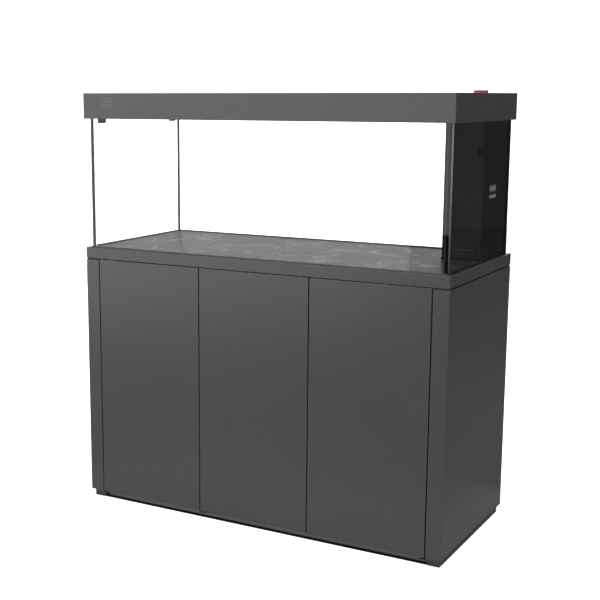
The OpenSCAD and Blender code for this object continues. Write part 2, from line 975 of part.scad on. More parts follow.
// Red grip with drafted ends; its stem passes through the flap to a retaining plate
module filter_flap_pull() {
    plate_t = 2;
    color("#b8232d")
        translate([(hatch_x[0] + hatch_x[1]) / 2, (hatch_y[0] + hatch_y[1]) / 2, 0]) {
            translate([0, pull_d / 2, hood_top_z])
                rotate([90, 0, 0])
                    linear_extrude(pull_d)
                        polygon([[-pull_w / 2, 0], [pull_w / 2, 0],
                                 [pull_w / 2 - pull_draft, pull_h],
                                 [-pull_w / 2 + pull_draft, pull_h]]);
            block([-stem[0] / 2, stem[0] / 2], [-stem[1] / 2, stem[1] / 2],
                  [deck_z - plate_t, hood_top_z + skin]);
            block([-stem[0] / 2 - plate_t, stem[0] / 2 + plate_t],
                  [-stem[1] / 2 - plate_t, stem[1] / 2 + plate_t], [deck_z - plate_t, deck_z]);
        }
}

// ---- Light ----

module light_housing() {
    wall = 2;
    z = ledge_z + clip_t;
    color("#9a9da0")
        difference() {
            block([-light_x, light_x], light_y, [z, z + light_h]);
            block([-light_x - over, light_x + over], [light_y[0] + wall, light_y[1] - wall],
                  [z - over, z + light_h - wall]);
        }
}

// Caps that close the bar's ends and rest on the hood's ledge; the left one holds the cable gland
module light_end_caps() {
    z = ledge_z + clip_t;
    gland_z = z + light_h + 8;
    socket_z = z + light_h - 4;
    color(trim_color)
        for (side = [0, 1])
            mirror([side, 0, 0])
                difference() {
                    union() {
                        block([-light_x - cap_reach, -light_x], light_y, [z, z + light_h]);
                        if (side == 0)
                            translate([-light_x - cap_reach / 2, (light_y[0] + light_y[1]) / 2, 0])
                                post(gland_r, [z, gland_z]);
                    }
                    if (side == 0)
                        translate([-light_x - cap_reach / 2, (light_y[0] + light_y[1]) / 2, 0])
                            post(gland_r - pipe_wall, [socket_z, gland_z + over]);
                }
}

module light_lens() {
    rim = 2;
    set_in = 0.5;
    z = ledge_z + clip_t + set_in;
    color([0.95, 0.97, 1, 0.7])
        block([-light_x, light_x], [light_y[0] + rim, light_y[1] - rim], [z - lens_t, z]);
}

base_rail_left();
base_rail_right();
base_mid_rails();
front_plinth();
rear_plinth();
plinth_seal();
bottom_panel();
left_side_panel();
right_side_panel();
left_stile();
right_stile();
corner_cleats();
left_divider();
right_divider();
back_panel();
cable_grommets();
sub_top();
stand_top();
left_door();
middle_door();
right_door();
left_door_pins();
middle_door_pins();
right_door_pins();
upper_pivot_bushes();
lower_pivot_brackets();
door_bumpers();
latch_bodies();
left_latch_plunger();
middle_latch_plunger();
right_latch_plunger();
foam_mat();
floor_glass();
front_glass();
rear_glass();
left_glass();
right_glass();
silicone_seams();
stone_floor();
filter_front_wall();
filter_left_wall();
filter_liner();
filter_partition();
outlet_port();
outlet_vane();
riser_pipe();
pump_housing();
pump_impeller();
media_basket();
filter_sponge();
hood_clips();
hood_frame();
hood_top();
feeding_flap();
filter_flap();
filter_flap_pull();
light_housing();
light_end_caps();
light_lens();
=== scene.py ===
import json
import math

import bpy
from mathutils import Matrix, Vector

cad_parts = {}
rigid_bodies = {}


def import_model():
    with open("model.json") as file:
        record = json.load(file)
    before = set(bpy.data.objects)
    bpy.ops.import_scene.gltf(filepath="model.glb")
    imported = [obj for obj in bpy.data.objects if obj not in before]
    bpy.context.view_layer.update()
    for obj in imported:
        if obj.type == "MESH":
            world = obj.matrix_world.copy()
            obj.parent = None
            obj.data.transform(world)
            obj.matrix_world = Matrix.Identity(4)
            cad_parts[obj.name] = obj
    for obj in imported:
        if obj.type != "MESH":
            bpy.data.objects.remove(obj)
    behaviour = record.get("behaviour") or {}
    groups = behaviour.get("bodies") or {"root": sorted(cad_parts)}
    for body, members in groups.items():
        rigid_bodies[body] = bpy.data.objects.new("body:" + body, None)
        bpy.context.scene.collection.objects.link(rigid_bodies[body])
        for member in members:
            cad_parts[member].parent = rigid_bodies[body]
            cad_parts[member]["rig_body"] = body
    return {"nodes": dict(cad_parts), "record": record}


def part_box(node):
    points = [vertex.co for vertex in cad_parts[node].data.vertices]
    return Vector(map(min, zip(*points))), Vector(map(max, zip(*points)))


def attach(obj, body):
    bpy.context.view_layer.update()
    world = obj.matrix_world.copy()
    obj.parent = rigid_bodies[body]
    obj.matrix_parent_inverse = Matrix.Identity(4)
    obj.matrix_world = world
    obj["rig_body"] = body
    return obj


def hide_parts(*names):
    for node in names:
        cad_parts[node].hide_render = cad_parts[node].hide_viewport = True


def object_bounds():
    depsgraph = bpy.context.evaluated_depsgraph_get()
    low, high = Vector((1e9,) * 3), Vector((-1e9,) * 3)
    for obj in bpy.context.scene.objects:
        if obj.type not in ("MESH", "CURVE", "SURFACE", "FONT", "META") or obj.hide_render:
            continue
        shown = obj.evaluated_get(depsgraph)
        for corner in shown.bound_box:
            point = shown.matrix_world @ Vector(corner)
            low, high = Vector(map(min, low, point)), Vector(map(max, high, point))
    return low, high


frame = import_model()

cad_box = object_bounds()
low, high = cad_box
mm = 0.001


# ---- Studio ----
# A plain white room. The camera stands to the right of the front, as high as the hood, and a
# long upright card at the front left lights the fronts and shows as a soft gloss on them.

class Wire:
    """A socket of a node tree. Arithmetic on it adds Math nodes, and node() adds any other node."""

    def __init__(self, tree, socket=None):
        self.tree = tree
        self.socket = socket

    def node(self, kind, settings=(), inputs=(), output=0):
        made = self.tree.nodes.new("ShaderNode" + kind)
        for name, value in dict(settings).items():
            if name == "stops":
                self.set_stops(made.color_ramp, value)
            else:
                setattr(made, name, value)
        for name, value in dict(inputs).items():
            if isinstance(value, Wire):
                self.tree.links.new(value.socket, made.inputs[name])
            else:
                made.inputs[name].default_value = value
        return Wire(self.tree, made.outputs[output])

    def set_stops(self, ramp, stops):
        while len(ramp.elements) < len(stops):
            ramp.elements.new(1)
        for element, (place, grey) in zip(ramp.elements, stops):
            element.position = place
            element.color = (grey, grey, grey, 1)

    def into(self, node, name):
        self.tree.links.new(self.socket, node.inputs[name])

    def math(self, operation, first, second):
        return self.node("Math", {"operation": operation}, {0: first, 1: second})

    def __add__(self, other):
        return self.math("ADD", self, other)

    __radd__ = __add__

    def __sub__(self, other):
        return self.math("SUBTRACT", self, other)

    def __rsub__(self, other):
        return self.math("SUBTRACT", other, self)

    def __mul__(self, other):
        return self.math("MULTIPLY", self, other)

    __rmul__ = __mul__

    def __abs__(self):
        return self.math("ABSOLUTE", self, 0)

    def __lt__(self, other):
        return self.math("LESS_THAN", self, other)

    def __gt__(self, other):
        return self.math("GREATER_THAN", self, other)


def seen(root):
    """1 for what the camera sees straight or through glass, 0 for what lights or reflects."""
    straight = root.node("LightPath", output="Is Camera Ray")
    through = root.node("LightPath", output="Is Transmission Ray")
    diffuse = root.node("LightPath", output="Diffuse Depth")
    glossy = root.node("LightPath", output="Glossy Depth")
    return root.math("MAXIMUM", straight, through * (diffuse + glossy < 0.5))


def muted(root):
    """1 for rays that light a surface, and less for those that a glossy surface reflects."""
    return 1 - (1 - gloss_share) * root.node("LightPath", output="Is Glossy Ray")


camera_place = (1.6113, -3.1225, 1.28675)
camera_tilt = math.radians(79.9)
camera_turn = math.radians(30.29)
sensor_w = 36
focal_length = 68.66
frame_shift = 0.1085
bpy.ops.object.select_all(action="DESELECT")
bpy.ops.object.camera_add(location=camera_place, rotation=(camera_tilt, 0, camera_turn))
camera = bpy.context.object
camera.data.sensor_width = sensor_w
camera.data.lens = focal_length
camera.data.shift_x = frame_shift
bpy.context.scene.camera = camera
bpy.context.scene.view_settings.view_transform = "Standard"

room_light = 0.30
gloss_share = 0.12
white_light = 1.35
world = bpy.data.worlds.new("white_room")
world.use_nodes = True
bpy.context.scene.world = world
sky = Wire(world.node_tree)
(room_light * muted(sky) + seen(sky) * white_light).into(
    world.node_tree.nodes["Background"], "Strength")
world.node_tree.nodes["Background"].inputs["Color"].default_value = (1, 1, 1, 1)

floor_size = 16
floor_drop = 0.2 * mm
floor_grey = 0.8
floor_glow = 0.92
bpy.ops.mesh.primitive_plane_add(size=floor_size, location=(0, 0, -floor_drop))
floor = bpy.context.object
floor.name = "studio_floor"
paper = bpy.data.materials.new("white_paper")
paper.use_nodes = True
paper_face = paper.node_tree.nodes["Principled BSDF"]
(floor_grey * muted(Wire(paper.node_tree))).into(paper_face, "Base Color")
paper_face.inputs["Roughness"].default_value = 1
paper_face.inputs["Specular IOR Level"].default_value = 0
paper_face.inputs["Emission Color"].default_value = (1, 1, 1, 1)
(floor_glow * seen(Wire(paper.node_tree))).into(paper_face, "Emission Strength")
floor.data.materials.append(paper)


def softbox(name, place, aim, width, height, brightness, behind_glass=False, glossy=True):
    """Area light at a place, turned to an aim point."""
    turn = (Vector(aim) - Vector(place)).to_track_quat("-Z", "Y").to_euler()
    bpy.ops.object.light_add(type="AREA", location=place, rotation=turn)
    lamp = bpy.context.object
    lamp.name = name
    lamp.data.shape = "RECTANGLE"
    lamp.data.size = width
    lamp.data.size_y = height
    lamp.data.energy = brightness * math.pi * width * height
    lamp.visible_camera = False
    lamp.visible_transmission = behind_glass
    lamp.visible_glossy = glossy


softbox("front_left_card", (-3.162, -1.944, 1.37), (-0.249, 0.6495, 1.37), 6.2, 2.74, 1.66)
softbox("front_card_end", (-0.669, -4.746, 1.57), (1.572, -2.751, 1.57), 1.3, 2.34, 1.66)
softbox("overhead", (0.0, -0.3, 2.9), (0.0, -0.3, 0), 2.4, 2.0, 5.6)
softbox("low_right_strip", (1.25, 0, 0.10), (0.6, 0, 0.15), 1.0, 0.2, 2.3, glossy=False)
softbox("low_front_strip", (0, -1.0, 0.08), (0, -0.26, 0.04), 1.6, 0.15, 0.9, glossy=False)
softbox("front_floor_glow", (0, -0.52, 0.004), (0, -0.52, 1), 1.5, 0.48, 0.18)
softbox("right_floor_glow", (0.68, 0.08, 0.004), (0.68, 0.08, 1), 0.14, 0.74, 0.12)
softbox("plinth_glow", (0, -0.262, 0.004), (0, -0.24, 0.012), 1.1, 0.012, 0.7, glossy=False)
softbox("right_fill", (3.0, 1.2, 1.0), (0.6, 0, 0.8), 2.0, 2.0, 1.1, glossy=False)
softbox("rear_left_card", (-2.3, 3.6, 1.3), (0, 0, 1.0), 6.0, 2.6, white_light, behind_glass=True)


# ---- Base ----
# Lacquered rails carry the cabinet at both ends, with black laminated plinth boards set back
# between them. A black rubber lip seals the front plinth to the floor; its black line along the
# plinth's foot is painted shade, standing in for the contact shadow on the floor there.

SLOTS = {part["node"]: part["material_slot"] for part in frame["record"]["subparts"]}
MODES = {"vertices": (True, False, False), "edges": (False, True, False),
         "polygons": (False, False, True)}


def block(name, low, high):
    """Cube between two corners, with its place in its mesh."""
    bpy.ops.object.select_all(action="DESELECT")
    low, high = Vector(low), Vector(high)
    bpy.ops.mesh.primitive_cube_add(size=1, location=(low + high) / 2, scale=high - low)
    return settle(name)


def rod(name, radius, start, end, sides=32):
    """Cylinder between two points."""
    bpy.ops.object.select_all(action="DESELECT")
    start, end = Vector(start), Vector(end)
    turn = (end - start).to_track_quat("Z", "Y").to_euler()
    bpy.ops.mesh.primitive_cylinder_add(vertices=sides, radius=radius, depth=(end - start).length,
                                        location=(start + end) / 2, rotation=turn)
    return settle(name)


def settle(name):
    """Names the new piece and puts its place into its mesh."""
    piece = bpy.context.object
    piece.name = name
    piece.data.name = name
    bpy.ops.object.transform_apply(location=True, rotation=True, scale=True)
    return piece


def apply(piece, kind, **settings):
    """Adds a modifier with these settings and applies it."""
    bpy.context.view_layer.objects.active = piece
    step = piece.modifiers.new(kind.lower(), kind)
    for name, value in settings.items():
        setattr(step, name, value)
    bpy.ops.object.modifier_apply(modifier=step.name)


def pick(piece, kind, test):
    """Opens edit mode with the vertices, edges or polygons that pass test(place, direction)."""
    bpy.ops.object.select_all(action="DESELECT")
    piece.select_set(True)
    bpy.context.view_layer.objects.active = piece
    bpy.context.tool_settings.mesh_select_mode = MODES[kind]
    mesh = piece.data
    for group in (mesh.vertices, mesh.edges, mesh.polygons):
        group.foreach_set("select", [False] * len(group))
    for item in getattr(mesh, kind):
        if kind == "vertices":
            item.select = test(item.co, item.normal)
        elif kind == "edges":
            first, last = (mesh.vertices[i].co for i in item.vertices)
            item.select = test((first + last) / 2, (last - first).normalized())
        else:
            item.select = test(item.center, item.normal)
    bpy.ops.object.mode_set(mode="EDIT")


def done():
    bpy.ops.object.mode_set(mode="OBJECT")


def shift(piece, kind, test, move):
    """Moves the picked part of a piece."""
    pick(piece, kind, test)
    bpy.ops.transform.translate(value=move)
    done()


def ease(piece, width, segments=3):
    """Rounds off every edge that is sharper than 30 degrees."""
    apply(piece, "BEVEL", width=width, segments=segments, limit_method="ANGLE",
          use_clamp_overlap=False)


def cut(piece, *tools, operation="DIFFERENCE"):
    """Takes the tools' shapes out of a piece, or joins them to it, and removes the tools."""
    for tool in tools:
        apply(piece, "BOOLEAN", object=tool, operation=operation, solver="EXACT")
        bpy.data.objects.remove(tool)


def join(name, pieces):
    """Makes one piece of one or several."""
    bpy.ops.object.select_all(action="DESELECT")
    for piece in pieces:
        piece.select_set(True)
    bpy.context.view_layer.objects.active = pieces[0]
    if pieces[1:]:
        bpy.ops.object.join()
    pieces[0].name = name
    pieces[0].data.name = name
    return pieces[0]


def mark_edges(piece, direction=None):
    """Attribute "edge": 1 on slanted and rounded faces, or on all that don't face a direction."""
    mesh = piece.data
    edge = mesh.attributes.new("edge", "FLOAT", "FACE")
    if direction is None:
        worn = [float(max(abs(x) for x in face.normal) < 0.999) for face in mesh.polygons]
    else:
        worn = [float(abs(face.normal.dot(Vector(direction))) < 0.999) for face in mesh.polygons]
    edge.data.foreach_set("value", worn)


def fit(piece, finish, *nodes, body=None, slot=None, direction=None):
    """Smooths a piece, gives it its finish and puts it in the place of these CAD nodes."""
    bpy.ops.object.select_all(action="DESELECT")
    piece.select_set(True)
    bpy.context.view_layer.objects.active = piece
    bpy.ops.object.shade_smooth_by_angle(angle=math.radians(35))
    apply(piece, "WEIGHTED_NORMAL", keep_sharp=True)
    mark_edges(piece, direction)
    piece.data.materials.clear()
    piece.data.materials.append(finish)
    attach(piece, body or frame["nodes"][nodes[0]]["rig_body"])
    if nodes:
        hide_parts(*nodes)


def dress(finish, *nodes):
    """Gives CAD nodes, kept as they are, a finish."""
    for node in nodes:
        for place in frame["nodes"][node].material_slots:
            place.material = finish


def mix(root, share, first, second):
    """Colour between two colours."""
    return root.node("Mix", {"data_type": "RGBA"}, {0: share, 6: first, 7: second}, output=2)


def ramp(root, value, start, end):
    """0 below start, 1 above end, and a smooth rise between."""
    return root.node("MapRange", {"interpolation_type": "SMOOTHSTEP"},
                     {"Value": value, "From Min": start, "From Max": end}, output="Result")


def noise(root, place, size, detail=2.0):
    """Cloudy noise, from 0 to 1, whose patches are about this size."""
    return root.node("TexNoise", {}, {"Vector": place, "Scale": 1 / size, "Detail": detail})


def new_finish(name, constants):
    """Material with these constants on its surface; returns it, the surface and a root wire."""
    finish = bpy.data.materials.new(name)
    finish.use_nodes = True
    surface = finish.node_tree.nodes["Principled BSDF"]
    for socket, value in constants.items():
        surface.inputs[socket].default_value = value
    return finish, surface, Wire(finish.node_tree)


def bumped(root, surface, height, depth, strength=1.0):
    """Raises the surface by height, from 0 to 1, times depth in metres."""
    root.node("Bump", {}, {"Height": height, "Distance": depth, "Strength": strength}).into(
        surface, "Normal")


def coloured(grey, tint=(1, 1, 1)):
    return (grey * tint[0], grey * tint[1], grey * tint[2], 1)


cloud_size = 310 * mm
speck_size = 7 * mm
tone_change = 0.06
rub_start, rub_full = 0.50, 0.66


def shaded(colour, share):
    """The colour, darker or paler by this share."""
    return tuple(share * part for part in colour[:3]) + (1,)


def solid(name, colour, worn, roughness, grain, depth, constants=()):
    """Opaque finish: soft shifts of tone, a fine grain, dust-dull patches and rubbed edges."""
    finish, surface, root = new_finish(name, dict(constants))
    place = root.node("TexCoord", output="Object")
    cloud = noise(root, place, cloud_size, 3)
    fine = noise(root, place, grain, 2)
    speck = noise(root, place, speck_size, 4)
    edge = root.node("Attribute", {"attribute_name": "edge"}, output="Fac")
    rubbed = edge * ramp(root, speck, rub_start, rub_full)
    deep = shaded(colour, 1 - tone_change)
    pale = shaded(colour, 1 + tone_change)
    mix(root, rubbed, mix(root, 0.7 * cloud + 0.3 * fine, deep, pale), worn).into(
        surface, "Base Color")
    (roughness - 0.03 + 0.05 * cloud + 0.03 * speck - 0.08 * rubbed).into(surface, "Roughness")
    bumped(root, surface, fine, depth)
    return finish


def side(end):
    """-1 for the left, and 1 for the right."""
    return -1 if end == "left" else 1


lacquer = solid("satin_grey_lacquer", (0.0620, 0.0626, 0.0640, 1), coloured(0.15), 0.25, 2.2 * mm,
                0.006 * mm)
laminate = solid("black_laminate", (0.1300, 0.1300, 0.1330, 1), coloured(0.18), 0.50, 0.9 * mm,
                 0.03 * mm)
# Black rubber, used only for the seal lip and the gap strips under the stand top: its black paints
# shade where they sit.
shade_rubber = solid("black_rubber_painted_shade", (0.0060, 0.0060, 0.0065, 1), coloured(0.012), 0.55, 1.2 * mm,
               0.04 * mm)

board_round = 0.6 * mm
cap_margin = 1.5 * mm
cap_depth = 0.2 * mm
for end in ("left", "right"):
    node = "base_rail_" + end
    rail = block(end + "_rail_board", *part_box(node))
    pick(rail, "polygons", lambda place, facing: abs(facing.y) > 0.9)
    bpy.ops.mesh.inset(thickness=cap_margin, depth=-cap_depth, use_individual=True)
    done()
    ease(rail, board_round)
    fit(rail, lacquer, node)

bracket_low, bracket_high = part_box("lower_pivot_brackets")
door_pins = {end: sum(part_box(end + "_door_pins"), Vector()) / 2
             for end in ("left", "middle", "right")}
pocket_half = 10.5 * mm
plinth_round = 0.5 * mm
plinth = block("front_plinth_board", *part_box("front_plinth"))
ease(plinth, plinth_round)
for pin in door_pins.values():
    cut(plinth, block("pocket", (pin.x - pocket_half, bracket_low.y, bracket_low.z - mm),
                      (pin.x + pocket_half, bracket_high.y + mm, bracket_high.z + mm)))
fit(plinth, laminate, "front_plinth")
plinth = block("rear_plinth_board", *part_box("rear_plinth"))
ease(plinth, plinth_round)
fit(plinth, laminate, "rear_plinth")
dress(laminate, "base_mid_rails")

lip_low, lip_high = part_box("plinth_seal")
lip_slope = (0, 2 * mm, -0.9 * mm)
lip_round = 0.3 * mm
# Painted shade: the lip's black line along the plinth's foot stands in for the contact shadow.
shadow_lip = block("floor_seal_shadow_strip", lip_low, lip_high)
shift(shadow_lip, "vertices", lambda place, facing: place.y < lip_low.y + mm and place.z > mm, lip_slope)
ease(shadow_lip, lip_round)
fit(shadow_lip, shade_rubber, "plinth_seal")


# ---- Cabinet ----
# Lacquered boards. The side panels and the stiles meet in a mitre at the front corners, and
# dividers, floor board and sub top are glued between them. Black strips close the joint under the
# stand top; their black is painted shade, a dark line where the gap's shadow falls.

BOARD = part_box("bottom_panel")[1].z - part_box("bottom_panel")[0].z
band_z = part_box("stand_top")[0].z
recess = 2.5 * mm
strip_room = 0.1 * mm
panel_round = 0.7 * mm
shade_gap_strips = []

for node in ("bottom_panel", "left_divider", "right_divider", "sub_top"):
    board = block(node + "_board", *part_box(node))
    ease(board, board_round)
    fit(board, lacquer, node)
dress(lacquer, "corner_cleats")

for end in ("left", "right"):
    out = side(end)
    node = end + "_side_panel"
    panel_low, panel_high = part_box(node)
    panel = block(end + "_side_board", panel_low, panel_high)
    shift(panel, "vertices",
          lambda place, facing: place.y < 0 and out * place.x < high.x - BOARD / 2,
          (0, BOARD, 0))
    ease(panel, panel_round)
    across = sorted((out * (high.x - recess), out * (high.x - BOARD + mm)))
    shade_gap_strips.append(block("strip", (across[0], panel_low.y + BOARD, panel_high.z - mm),
                            (across[1], panel_high.y - recess, band_z - strip_room)))
    fit(panel, lacquer, node)
    node = end + "_stile"
    stile_low, stile_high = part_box(node)
    stile = block(end + "_stile_board", stile_low, stile_high)
    shift(stile, "vertices",
          lambda place, facing: place.y > stile_low.y + mm and out * place.x > high.x - mm,
          (-out * BOARD, 0, 0))
    ease(stile, panel_round)
    fit(stile, lacquer, node)
    across = sorted((out * (high.x - recess), min(stile_low.x, stile_high.x, key=abs)))
    shade_gap_strips.append(block("strip", (across[0], stile_low.y + recess, stile_high.z - mm),
                            (across[1], stile_high.y + mm, band_z - strip_room)))
stand = frame["nodes"]["stand_top"]["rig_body"]
# The strips' black paints the shadow line in the gap under the stand top.
fit(join("painted_shade_gap_strips", shade_gap_strips), shade_rubber, body=stand, slot=SLOTS["left_side_panel"])


# ---- Back panel ----
# Thin board rebated into the back, with two round ports for hoses and cables. A black plastic
# grommet is pushed into each from inside.

black_plastic = solid("black_moulded_plastic", (0.0130, 0.0130, 0.0140, 1), coloured(0.03), 0.42,
                      0.8 * mm, 0.02 * mm)
back_low, back_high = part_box("back_panel")
grommet_low, grommet_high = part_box("cable_grommets")
flange = 5 * mm
sleeve_r = (grommet_high.z - grommet_low.z) / 2 - flange
port_z = (grommet_high.z + grommet_low.z) / 2
port_room = 0.1 * mm
back_round = 0.4 * mm
back = block("back_board", back_low, back_high)
ease(back, back_round)
for out in (-1, 1):
    port_x = out * (grommet_high.x - sleeve_r - flange)
    cut(back, rod("port", sleeve_r + port_room, (port_x, back_low.y - mm, port_z),
                  (port_x, back_high.y + mm, port_z), 64))
fit(back, lacquer, "back_panel")
dress(black_plastic, "cable_grommets")


# ---- Stand top ----
# Thick lacquered top with a shallow seat for the tank milled into it, and a nylon bush let into
# its underside for each door's upper pin.

nylon = solid("white_nylon", (0.62, 0.61, 0.58, 1), coloured(0.45), 0.45, 0.7 * mm, 0.01 * mm,
              {"Subsurface Weight": 0.1})
top_low, top_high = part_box("stand_top")
mat_low, mat_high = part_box("foam_mat")
seat_gap = 1 * mm
edge_round = 1.2 * mm
seat_edge = top_high.x - mat_high.x - seat_gap
bush_low, bush_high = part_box("upper_pivot_bushes")
bush_r = (bush_high.y - bush_low.y) / 2
top = block("stand_top_board", top_low, top_high)
ease(top, edge_round)
pick(top, "polygons", lambda place, facing: facing.z > 0.99 and place.z > top_high.z - mm)
bpy.ops.mesh.inset(thickness=seat_edge - edge_round)
bpy.ops.mesh.extrude_region_move(
    TRANSFORM_OT_translate={"value": (0, 0, mat_low.z - top_high.z)})
done()
for pin in door_pins.values():
    cut(top, rod("bore", bush_r, (pin.x, pin.y, top_low.z - mm), (pin.x, pin.y, bush_high.z)))
fit(top, lacquer, "stand_top")
dress(nylon, "upper_pivot_bushes")


# ---- Doors ----
# Plain lacquered leaves with eased edges and no handles: each turns on two steel pins at its
# corners and opens by a push on its free edge.

leaf_round = 0.9 * mm
bore_r = 2.55 * mm
bore_l = 40 * mm
for end in ("left", "middle", "right"):
    node = end + "_door"
    leaf_low, leaf_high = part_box(node)
    leaf = block(node + "_leaf", leaf_low, leaf_high)
    ease(leaf, leaf_round)
    pin = door_pins[end]
    for start, stop in ((leaf_low.z - mm, leaf_low.z + bore_l),
                        (leaf_high.z - bore_l, leaf_high.z + mm)):
        cut(leaf, rod("bore", bore_r, (pin.x, pin.y, start), (pin.x, pin.y, stop)))
    fit(leaf, lacquer, node)


# ---- Door hardware ----
# Blackened steel pins, powder-coated steel brackets under the doors, pale soft bumpers, and black
# push latches with white plungers behind each free edge.

def metal(name, colour, roughness, streak):
    """Drawn or turned metal with fine streaks along Z or X."""
    finish, surface, root = new_finish(name, {"Metallic": 1.0})
    place = root.node("TexCoord", output="Object")
    drawn = root.node("VectorMath", {"operation": "MULTIPLY"}, {0: place, 1: streak})
    lines = noise(root, drawn, 1.0, 3)
    cloud = noise(root, place, 60 * mm, 3)
    mix(root, 0.5 * lines + 0.5 * cloud, shaded(colour, 0.8), colour).into(
        surface, "Base Color")
    (roughness + 0.15 * lines).into(surface, "Roughness")
    bumped(root, surface, lines, 0.01 * mm)
    return finish


dark_steel = metal("blackened_steel", (0.06, 0.06, 0.062, 1), 0.35, (900, 900, 60))
black_steel = solid("powder_coated_steel", (0.018, 0.018, 0.019, 1), coloured(0.10), 0.48,
                    0.6 * mm, 0.04 * mm)
soft_clear = solid("soft_bumper", (0.55, 0.55, 0.54, 1), coloured(0.5), 0.35, 1.5 * mm, 0.01 * mm)
dress(dark_steel, "left_door_pins", "middle_door_pins", "right_door_pins")
dress(black_steel, "lower_pivot_brackets")
dress(soft_clear, "door_bumpers")
dress(black_plastic, "latch_bodies")
dress(nylon, "left_latch_plunger", "middle_latch_plunger", "right_latch_plunger")


# ---- Tank ----
# Five panes of float glass with ground edges, glued with silicone along every joint, on a black
# foam mat. The front pane laps the side panes, and its right edge shows as a steel-blue strip.

glass_room = 0.3 * mm
arris = 0.8 * mm
wave_size = 400 * mm
# Heights over which the painted shade on the ground glass edges fades out.
shaded_foot, unshaded_top = 800 * mm, 1200 * mm


def clear(name, edge_tint, ground_tint, ground_from, openness):
    """Glass with clear faces. Ground, opaque edges right of ground_from, with painted shade below.
    """
    finish, surface, root = new_finish(name, {
        "Transmission Weight": 1.0, "IOR": 1.45, "Specular IOR Level": 0.35, "Roughness": 0})
    place = root.node("TexCoord", output="Object")
    edge = root.node("Attribute", {"attribute_name": "edge"}, output="Fac")
    wave = noise(root, place, wave_size, 1)
    x, z = (root.node("SeparateXYZ", {}, {0: place}, output=axis) for axis in "XZ")
    ground = edge * (ground_from < x)
    mix(root, edge, mix(root, wave, (0.975, 0.985, 0.985, 1), (1, 1, 1, 1)), edge_tint).into(
        surface, "Base Color")
    (1 - openness * edge).into(surface, "Alpha")
    bumped(root, surface, wave, 0.02 * mm)
    # Painted shade: the ground edges grow darker towards the tank's foot.
    matt = root.node("BsdfPrincipled", {}, {
        "Base Color": mix(root, ramp(root, z, shaded_foot, unshaded_top), shaded(ground_tint, 0.26),
                          ground_tint),
        "Roughness": 0.4, "Specular IOR Level": 0.15})
    root.node("MixShader", {}, {0: ground, 1: Wire(root.tree, surface.outputs[0]), 2: matt}).into(
        finish.node_tree.nodes["Material Output"], "Surface")
    return finish


glass = clear("float_glass", (0.62, 0.84, 0.93, 1), (0.30, 0.34, 0.38, 1), 0, 0.7)
ground_glass = clear("ground_edge_glass", (0.5, 0.6, 0.7, 1), (0.022, 0.027, 0.034, 1), -10, 0)


def pane(name, node, kind, direction, gap=(0, 0, 0)):
    """Pane with flat ground arrises; gap keeps it clear of its neighbours."""
    gap = Vector(gap)
    sheet = block(name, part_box(node)[0] + gap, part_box(node)[1] - gap)
    ease(sheet, arris, 1)
    fit(sheet, kind, node, direction=direction)


pane("front_pane", "front_glass", glass, (0, 1, 0))
pane("rear_pane", "rear_glass", ground_glass, (0, 1, 0))
pane("left_pane", "left_glass", ground_glass, (1, 0, 0), (0, glass_room, 0))
pane("right_pane", "right_glass", ground_glass, (1, 0, 0), (0, glass_room, 0))
pane("floor_pane", "floor_glass", ground_glass, (0, 0, 1), (glass_room, glass_room, 0))

foam, foam_face, foam_root = new_finish("black_foam", {})
foam_place = foam_root.node("TexCoord", output="Object")
cell_pits_and_shade = foam_root.node("TexVoronoi", {}, {"Vector": foam_place, "Scale": 900})
# Darker in the cell pits, where the bump is lowest: painted shade.
mix(foam_root, cell_pits_and_shade, coloured(0.008), coloured(0.03)).into(foam_face, "Base Color")
(0.75 + 0.2 * cell_pits_and_shade).into(foam_face, "Roughness")
bumped(foam_root, foam_face, cell_pits_and_shade, 0.4 * mm)
dress(foam, "foam_mat")


# ---- Silicone ----
# Hollow fillets tooled with a fingertip along the inside corners: clear at the front left, milky
# in the other open corners and black round the filter. Thin films fill the joints between panes,
# and a grey strip closes the seat along the foot of the front pane.

def sealant(name, clearness, bending, pale, deep):
    """Silicone with soft waves; a low bending (IOR) stands for wet contact with the glass."""
    finish, surface, root = new_finish(name, {"Transmission Weight": clearness, "IOR": bending})
    finger = noise(root, root.node("TexCoord", output="Object"), 9 * mm, 2)
    (0.15 + 0.1 * finger).into(surface, "Roughness")
    mix(root, finger, pale, deep).into(surface, "Base Color")
    bumped(root, surface, finger, 0.04 * mm)
    return finish


silicone = sealant("clear_silicone", 1.0, 1.12, (0.90, 0.92, 0.93, 1), (0.94, 0.95, 0.95, 1))
# Near-white silicone for the film under the front pane: painted light, far paler than the milky
# silicone to make up for the light that the glass keeps off it.
painted_lit_silicone = sealant("painted_lit_silicone", 0.0, 1.30, coloured(0.85), coloured(0.92))
milky_silicone = sealant("milky_silicone", 0.3, 1.30, (0.30, 0.31, 0.32, 1), (0.36, 0.37, 0.37, 1))
black_silicone = sealant("black_silicone", 0.0, 1.30, coloured(0.006), coloured(0.010))

inside_low, inside_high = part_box("floor_glass")
floor_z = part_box("stone_floor")[1].z
seam = 4 * mm
lean = 0.4 * mm


def bead(corner, far, legs):
    """Hollow fillet from a corner point to another, with its two legs along the walls."""
    slant = Vector(legs[0]) + Vector(legs[1])
    corner, far = (Vector(point) + glass_room * 0.5 * slant for point in (corner, far))
    points = (corner, far + seam * slant)
    strip = block("bead", [min(pair) for pair in zip(*points)],
                  [max(pair) for pair in zip(*points)])
    middle = (seam + lean) * slant
    along = (far - corner).normalized() * mm
    cut(strip, rod("finger", seam, corner + middle - along, far + middle + along, 48))
    return strip


